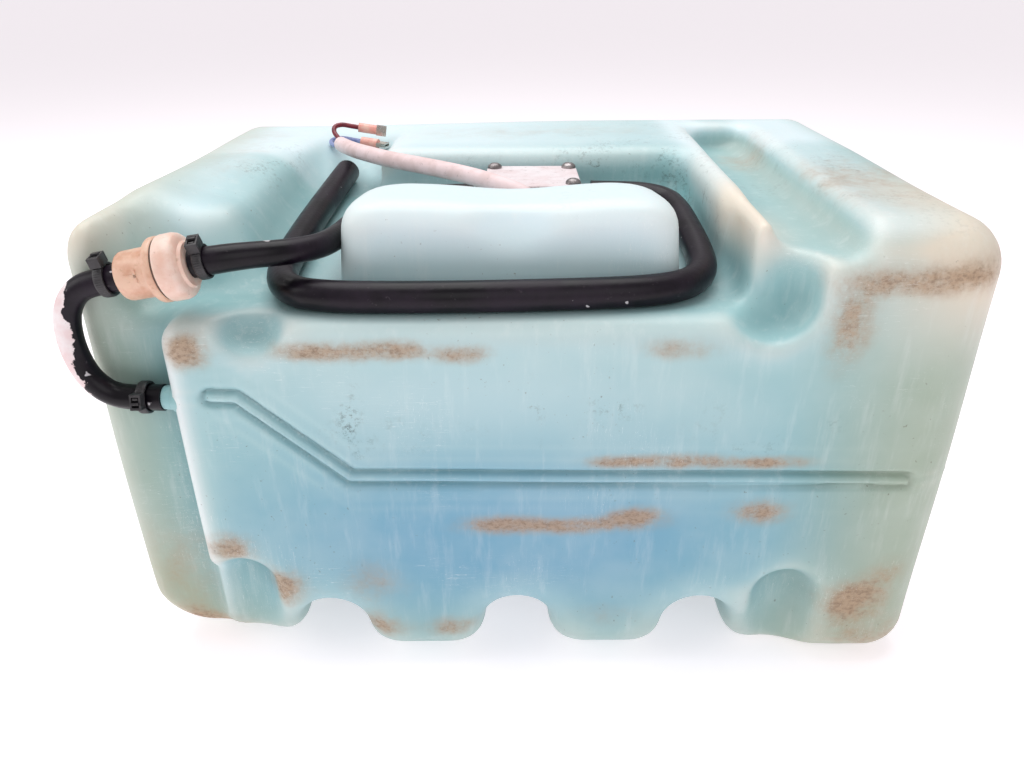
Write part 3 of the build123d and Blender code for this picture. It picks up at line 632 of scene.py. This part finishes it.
# ---------------------------------------------------------------- cords
def curve(name, points, diameter, material, flare=()):
    """Hose or cable on one smooth line; flare gives (index, radius factor) over the barbs."""
    data = bpy.data.curves.new(name, "CURVE")
    data.dimensions, data.bevel_depth, data.bevel_resolution = "3D", diameter / 2 * MM, 10
    data.resolution_u, data.use_fill_caps = 14, True
    line = data.splines.new("NURBS")
    line.points.add(len(points) - 1)
    for point, place in zip(line.points, points):
        point.co = (*(Vector(place) * MM), 1)
    for index, factor in flare:
        line.points[index].radius = factor
    line.order_u = 3
    line.use_endpoint_u = True
    piece = bpy.data.objects.new(name, data)
    bpy.context.scene.collection.objects.link(piece)
    data.materials.append(material)
    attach(piece, "tank")
    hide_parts(name.replace("_run", ""))
    return piece


def line_length(piece):
    """Length of a curve's smooth line, without its thickness."""
    bare = piece.copy()
    bare.data = piece.data.copy()
    bare.data.bevel_depth = 0
    mesh = bpy.data.meshes.new_from_object(bare)
    places = [v.co.copy() for v in mesh.vertices]
    bpy.data.objects.remove(bare)
    return sum((b - a).length for a, b in zip(places, places[1:]))


LINK = [
    (-190, -149, 182), (-203, -149, 182), (-216.5, -148.8, 183.5), (-226, -148.5, 192.5),
    (-230, -148.3, 205), (-230.8, -148.2, 218), (-228.5, -148.1, 230.5), (-221.5, -148, 240.5),
    (-211, -148, 245), (-196.1, -148, 247.4),
]
FEED = [
    (-162.7, -148, 253.7), (-149, -147, 255.8), (-134, -143, 256.3), (-119, -135.5, 255.2),
    (-107.5, -123.5, 254), (-102, -105, 253), (-99, -80, 252.3), (-97, -50, 251.5),
    (-95, -25, 251), (-84, -10, 250.6), (-67, -6.5, 250.5), (-50, -7, 250.5), (-34, -7, 250.5),
]
LOOP = [
    (40, -7, 250.5), (56, -7, 250.5), (73, -8.5, 250.3), (86, -18, 249.3), (90, -34, 247.3),
    (91.5, -60, 243.6), (92.5, -88, 239.2), (91, -110, 235.6), (81, -127, 234.5),
    (62, -136, 234.3), (30, -140, 234.3), (-20, -143, 234.3), (-72, -143.5, 234.3),
    (-102, -142, 234.3), (-121, -135.5, 234.5), (-131, -119, 235.4), (-132, -88, 238.8),
    (-130, -45, 243.8), (-127, 0, 248.8), (-123, 44, 254.2),
]
LEAD = [
    (16, -33.5, 247), (16, -40, 247), (13.5, -46.5, 250), (5.5, -50.5, 256.5), (-7, -49.5, 263.2),
    (-23, -41, 267), (-42, -24.5, 268.2), (-66, -7, 269), (-88, 7.5, 269.7), (-105, 26, 269.6),
    (-121, 49, 268.5), (-131, 70, 267.7),
]
RED = [
    (-131.4, 70.9, 269.8), (-134, 76.5, 271), (-137.8, 81, 274), (-138, 86, 277.3),
    (-133, 90, 278), (-127, 91.2, 276.5), (-121.5, 91.5, 275.6),
]
BLUE = [
    (-131.3, 70.7, 265.7), (-135, 76, 265.3), (-140, 80, 266), (-141.3, 86, 267.3),
    (-137, 90.5, 268.2), (-130, 90, 267.8), (-124, 86.5, 267.2), (-118.5, 84.5, 266.8),
]


def hose_material(name, peeled=False):
    """Aged black rubber with a purple-grey bloom; peeled adds old pinkish-white paint on the outside.
    """
    s = Shade(name, 0.38, 0.0, 0.24)
    bloom = s.step(s.noise(35.0, 5.0, 0.6), 0.35, 0.7)
    tone = s.mix(bloom, (0.002, 0.001, 0.003), (0.013, 0.007, 0.015))
    dust = s.step(s.noise(260.0, 5.0, 0.7), 0.62, 0.72, 0.0, 0.5)
    tone = s.mix(dust, tone, (0.07, 0.06, 0.068))
    chips = s.step(s.noise(120.0, 2.0), 0.72, 0.74, 0.0, 0.8)
    tone = s.mix(chips, tone, (0.6, 0.58, 0.6))
    normal = s.bump(s.noise(500.0, 3.0), 0.25, 0.0003)
    rough = s.step(bloom, 0, 1, 0.28, 0.44)
    if peeled:
        split = s.tree.nodes.new("ShaderNodeSeparateXYZ")
        s.set(split, Vector=s.where)
        x, z = split.outputs["X"], split.outputs["Z"]
        height = s.math("ABSOLUTE", s.math("SUBTRACT", z, 0.214))
        outside = s.math("SUBTRACT", s.math("MULTIPLY", height, 0.20), 0.2286)
        ragged = s.math("MULTIPLY", s.math("SUBTRACT", s.noise(75.0, 5.0, 0.6), 0.5), 0.022)
        paint = s.step(s.math("SUBTRACT", s.math("ADD", x, ragged), outside), -0.0003, 0.0004, 1, 0)
        zone = s.math("MULTIPLY", s.step(z, 0.184, 0.189), s.step(z, 0.249, 0.252, 1, 0))
        paint = s.math("MULTIPLY", paint, zone)
        holes = s.step(s.noise(240.0, 4.0, 0.7), 0.66, 0.68, 1, 0)
        paint = s.math("MULTIPLY", paint, holes)
        skin = s.mix(s.step(s.noise(60.0, 4.0), 0.4, 0.65), (0.80, 0.62, 0.62), (0.86, 0.80, 0.80))
        tone = s.mix(paint, tone, skin)
        normal = s.bump(paint, 0.5, 0.0004, normal)
    return s.done(tone, normal, rough)


def cords():
    """The three hoses, the cable and its two wires."""
    rubber = hose_material("hose_rubber")
    link = curve("link_hose_run", LINK, 12.7, hose_material("hose_peeled", True),
                 ((0, 1.1), (1, 1.06), (8, 1.04), (9, 1.08)))
    feed = curve("pump_hose_run", FEED, 12.7, rubber,
                 ((0, 1.1), (1, 1.08), (11, 1.05), (12, 1.1)))
    loop = curve("delivery_hose_run", LOOP, 16.0, rubber, ((0, 1.05),))
    sheath = worn("cable_sheath", (0.86, 0.68, 0.69), (0.72, 0.55, 0.54), 0.55, scale=90,
                  dust=(0.24, 0.17, 0.14), spec=0.4)
    lead = curve("pump_cable_run", LEAD, 10.3, sheath)
    red = curve("red_wire_run", RED, 3.3,
                worn("wire_red", (0.22, 0.008, 0.02), (0.12, 0.005, 0.02), 0.35, scale=200))
    blue = curve("blue_wire_run", BLUE, 3.3,
                 worn("wire_blue", (0.30, 0.36, 0.62), (0.16, 0.2, 0.45), 0.35, scale=200))
    return link, feed, loop, lead, red, blue


# ---------------------------------------------------------------- assembly
VALVE = Vector((-196.1, -148.0, 247.4))
TILT = Vector((cos(radians(10.7)), 0, sin(radians(10.7))))


def ivory_material(name, colour, blush):
    """Yellowed ivory plastic with pink-tan blotches, scattered brown grime and fine pits."""
    s = Shade(name, 0.33, 0.0, 0.5)
    s.bsdf.inputs["Subsurface Weight"].default_value = 0.08
    s.bsdf.inputs["Subsurface Scale"].default_value = 0.003
    tone = s.mix(s.step(s.noise(75.0, 4.0, 0.6), 0.38, 0.66), colour, blush)
    tone = s.mix(s.step(s.noise(210.0, 5.0, 0.7), 0.6, 0.72, 0, 0.5), tone, (0.42, 0.22, 0.12))
    return s.done(tone, s.bump(s.noise(500.0, 3.0), 0.2, 0.0003), 0.36)


def valve():
    """Non-return valve: barrel with its moulded arrow, cap, and the seam between them."""
    barrel_skin = ivory_material("valve_plastic", (0.74, 0.49, 0.36), (0.60, 0.32, 0.21))
    ring_skin = ivory_material("valve_ring_plastic", (0.84, 0.65, 0.56), (0.76, 0.50, 0.40))
    barrel = turned("valve_barrel", [
        (-14, 3.3), (-14, 4.4), (-10.5, 5.2), (-10.4, 4.7), (-6, 5.2), (-5.9, 4.7), (-0.6, 4.9),
        (-0.4, 8.5), (0, 10.2), (0.5, 11.2), (1.4, 11.8), (2.6, 12.0), (15.6, 12.2), (16.4, 12.5),
        (16.6, 14.5), (17.0, 15.4), (17.7, 15.8), (19.9, 15.9), (20.5, 15.6), (20.8, 15.2),
        (20.8, 10.2), (8, 10.2), (8, 3.3)], VALVE, TILT, barrel_skin,
        64)
    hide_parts("valve_inlet")
    place = axes_at(VALVE + TILT * 8.0, TILT, (0, -1, 0.2))
    blocks("valve_arrow", [((0, 12.1, 0.5), (2.0, 0.9, 6.0)), ((1.1, 12.2, 3.2), (4.2, 0.8, 1.3)),
                           ((-1.1, 12.2, 3.2), (4.2, 0.8, 1.3))], place, barrel_skin,
           0.3)
    cap = turned("valve_cap", [
        (21.8, 10.2), (21.8, 15.3), (22.1, 15.9), (22.8, 16.1), (28.0, 16.1), (29.8, 15.6),
        (31.0, 14.6), (31.8, 12.9), (32.4, 11.4), (33.8, 10.6), (34.0, 5.6), (34.0, 4.9),
        (39.0, 4.8), (39.1, 5.3), (43.0, 4.8), (43.1, 5.3), (48.0, 4.4), (48.0, 3.3), (27.9, 3.3),
        (27.9, 10.2)], VALVE, TILT, ring_skin, 64)
    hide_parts("valve_outlet")
    seam = turned("valve_seam", [(20.6, 10.4), (20.6, 15.1), (22.0, 15.1),
                                 (22.0, 10.4)], VALVE, TILT,
                  worn("seal_rubber", (0.05, 0.03, 0.02), (0.12, 0.07, 0.05), 0.6))
    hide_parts("valve_seal")
    return barrel, cap, seam


def spigots(skin):
    """Filler and vent spigots in the back, and the stub on the step."""
    turned("filler_spigot", [
        (-6, 16.5), (0, 16.5), (33.2, 16.5), (34, 17.2), (34, 18.4), (33.4, 19.4), (31.5, 20.3),
        (29.5, 20.2), (28.4, 19.2), (2.5, 19.6), (1.2, 20.2), (0.2, 22.5), (-6, 23)],
        (142, 116.5, 190), (0, 1, 0), skin, 72)
    turned("vent_spigot", [
        (-5, 3.5), (25.4, 3.5), (26, 3.9), (26, 4.8), (22.4, 6.2), (21.6, 5.6), (17.6, 6.2),
        (16.8, 5.6), (2.5, 5.8), (1.2, 6.3), (0.2, 8), (-5, 8.5)],
        (190, 116.5, 205), (0, 1, 0), skin)
    turned("outlet_stub", [
        (-3, 8.2), (0.2, 7.4), (1.2, 6.5), (5.6, 6.2), (6, 5.8), (6, 4.9), (19.4, 4.7), (20, 4.2),
        (20, 3.5), (-3, 3.5)], (-184, -149, 182), (-1, 0, 0), skin)


def terminals():
    """Pink insulating sleeves of the two push-on terminals."""
    s = Shade("sleeve_pink", 0.3, 0.0, 0.5)
    s.bsdf.inputs["Subsurface Weight"].default_value = 0.1
    s.bsdf.inputs["Subsurface Scale"].default_value = 0.002
    tone = s.mix(s.step(s.noise(160.0, 3.0), 0.4, 0.65), (0.80, 0.36, 0.30), (0.86, 0.55, 0.46))
    pink = s.done(tone, s.bump(s.noise(600.0, 2.0), 0.2, 0.0002))
    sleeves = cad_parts["terminal_sleeves"]
    sleeves.data.materials.clear()
    sleeves.data.materials.append(pink)


CAD_LOOKS = {
    "pickup_pipe": ("pipe_plastic", (0.75, 0.78, 0.76), (0.6, 0.64, 0.62), 0.4, 0.0),
    "pump_body": ("pump_plastic", (0.018, 0.018, 0.02), (0.05, 0.045, 0.045), 0.5, 0.0),
    "pump_gasket": ("gasket_rubber", (0.012, 0.012, 0.012), (0.035, 0.03, 0.03), 0.7, 0.0),
    "motor_can": ("can_steel", (0.5, 0.5, 0.5), (0.32, 0.31, 0.3), 0.35, 1.0),
    "motor_end_cap": ("pump_plastic", (0.02, 0.02, 0.022), (0.04, 0.04, 0.04), 0.5, 0.0),
    "motor_sleeve": ("sleeve_rubber", (0.02, 0.02, 0.02), (0.05, 0.05, 0.05), 0.7, 0.0),
    "magnets": ("magnet_ferrite", (0.06, 0.06, 0.065), (0.1, 0.1, 0.1), 0.6, 0.2),
    "brushes": ("brush_carbon", (0.02, 0.02, 0.022), (0.05, 0.05, 0.05), 0.6, 0.0),
    "front_bearing": ("bearing_bronze", (0.55, 0.36, 0.18), (0.35, 0.22, 0.1), 0.4, 1.0),
    "rear_bearing": ("bearing_bronze", (0.55, 0.36, 0.18), (0.35, 0.22, 0.1), 0.4, 1.0),
    "shaft_seal": ("seal_rubber", (0.015, 0.015, 0.015), (0.04, 0.04, 0.04), 0.6, 0.0),
    "pump_shaft": ("shaft_steel", (0.6, 0.6, 0.6), (0.42, 0.42, 0.42), 0.25, 1.0),
    "impeller": ("impeller_rubber", (0.02, 0.02, 0.02), (0.05, 0.05, 0.05), 0.6, 0.0),
    "armature": ("armature_iron", (0.3, 0.25, 0.2), (0.18, 0.13, 0.1), 0.45, 1.0),
    "commutator": ("commutator_copper", (0.72, 0.4, 0.25), (0.4, 0.2, 0.12), 0.3, 1.0),
    "poppet": ("poppet_plastic", (0.8, 0.8, 0.78), (0.65, 0.64, 0.6), 0.4, 0.0),
    "poppet_seal": ("seal_rubber", (0.015, 0.015, 0.015), (0.04, 0.04, 0.04), 0.6, 0.0),
    "poppet_spring": ("spring_steel", (0.6, 0.6, 0.6), (0.4, 0.4, 0.4), 0.3, 1.0),
    "cable_gland": ("gland_rubber", (0.02, 0.02, 0.02), (0.06, 0.055, 0.05), 0.6, 0.0),
    "terminal_clips": ("clip_tin", (0.7, 0.68, 0.64), (0.5, 0.44, 0.38), 0.3, 1.0),
    "cover_screws": ("screw_steel", (0.36, 0.33, 0.33), (0.16, 0.14, 0.14), 0.38, 1.0),
}


def cad_looks():
    """Materials for the CAD nodes that stay, and the scratched plate over the pump."""
    made = {}
    for node, (name, colour, shadow, rough, metal) in CAD_LOOKS.items():
        if name not in made:
            made[name] = worn(name + "_cad", colour, shadow, rough, metal, scale=150.0)
        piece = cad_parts[node]
        piece.data.materials.clear()
        piece.data.materials.append(made[name])
    s = Shade("cover_metal", 0.45, 0.25, 0.5)
    blotch = s.step(s.noise(55.0, 5.0, 0.65), 0.38, 0.66)
    tone = s.mix(blotch, (0.92, 0.83, 0.85), (0.74, 0.62, 0.63))
    tone = s.mix(s.step(s.noise(240.0, 5.0, 0.7), 0.56, 0.7, 0, 0.6), tone, (0.33, 0.25, 0.23))
    fine = s.noise(90.0, 3.0, 0.5, s.mapped((1.0, 14.0, 1.0), (0, 0, 0.3)))
    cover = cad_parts["pump_cover"]
    cover.data.materials.clear()
    cover.data.materials.append(s.done(tone, s.bump(fine, 0.3, 0.0002),
                                       s.step(blotch, 0, 1, 0.36, 0.55)))


def stage():
    """Pale floor and soft studio light."""
    mesh = bpy.data.meshes.new("floor")
    mesh.from_pydata([(-60, -60, 0), (60, -60, 0), (60, 60, 0), (-60, 60, 0)], [], [(0, 1, 2, 3)])
    ground = bpy.data.objects.new("floor", mesh)
    bpy.context.scene.collection.objects.link(ground)
    s = Shade("floor", 0.6, 0.0, 0.15)
    s.set(s.bsdf, Emission_Color=(1.0, 0.93, 0.985, 1), Emission_Strength=0.43)
    mesh.materials.append(s.done(s.mix(s.noise(3.0), (0.90, 0.87, 0.89), (0.91, 0.885, 0.90))))
    world = bpy.data.worlds.new("world")
    bpy.context.scene.world = world
    world.use_nodes = True
    world.node_tree.nodes["Background"].inputs["Color"].default_value = (1.0, 0.975, 0.99, 1)
    world.node_tree.nodes["Background"].inputs["Strength"].default_value = 0.50
    for name, place, aim, size, power in (
            ("top", (-0.15, 0.35, 1.7), (0, 0, 0.2), 1.5, 21.0),
            ("front", (0.3, -1.7, 1.1), (0, 0, 0.12), 1.3, 5.5),
            ("left", (-1.5, -0.4, 1.0), (0, 0, 0.15), 0.9, 5.5)):
        light = bpy.data.lights.new(name, "AREA")
        light.energy, light.size = power, size
        lamp = bpy.data.objects.new(name, light)
        lamp.location = place
        lamp.rotation_euler = (Vector(place) - Vector(aim)).to_track_quat("Z", "Y").to_euler()
        bpy.context.scene.collection.objects.link(lamp)


camera()
stage()
bpy.context.scene.view_settings.view_transform = "Standard"
link, feed, loop, lead, red, blue = cords()
shell = tank()
spigots(shell.data.materials[0])
barrel, cap, seam = valve()
nylon = worn("tie_plastic", (0.014, 0.013, 0.015), (0.035, 0.032, 0.035), 0.38, scale=200,
             dust=(0.12, 0.11, 0.11))
outlet_tie = cable_tie("outlet_tie_band", "outlet_tie", (-199.5, -149, 182.3), (-1, 0, 0), 7.2,
                       -75, nylon)
inlet_tie = cable_tie("valve_inlet_tie_band", "valve_inlet_tie", (-205, -148, 246),
                      (0.985, 0, 0.17), 7.2, 8, nylon)
cap_tie = cable_tie("valve_outlet_tie_band", "valve_outlet_tie", (-157.5, -147.8, 254.6),
                    (0.986, 0.05, 0.16), 7.2, 20, nylon)
cad_looks()
terminals()

round(line_length(link), 3)
round(line_length(feed), 3)
round(line_length(loop), 3)
round(line_length(lead), 3)
for wire, start in ((red, RED[0]), (blue, BLUE[0])):
    round(line_length(wire), 3)
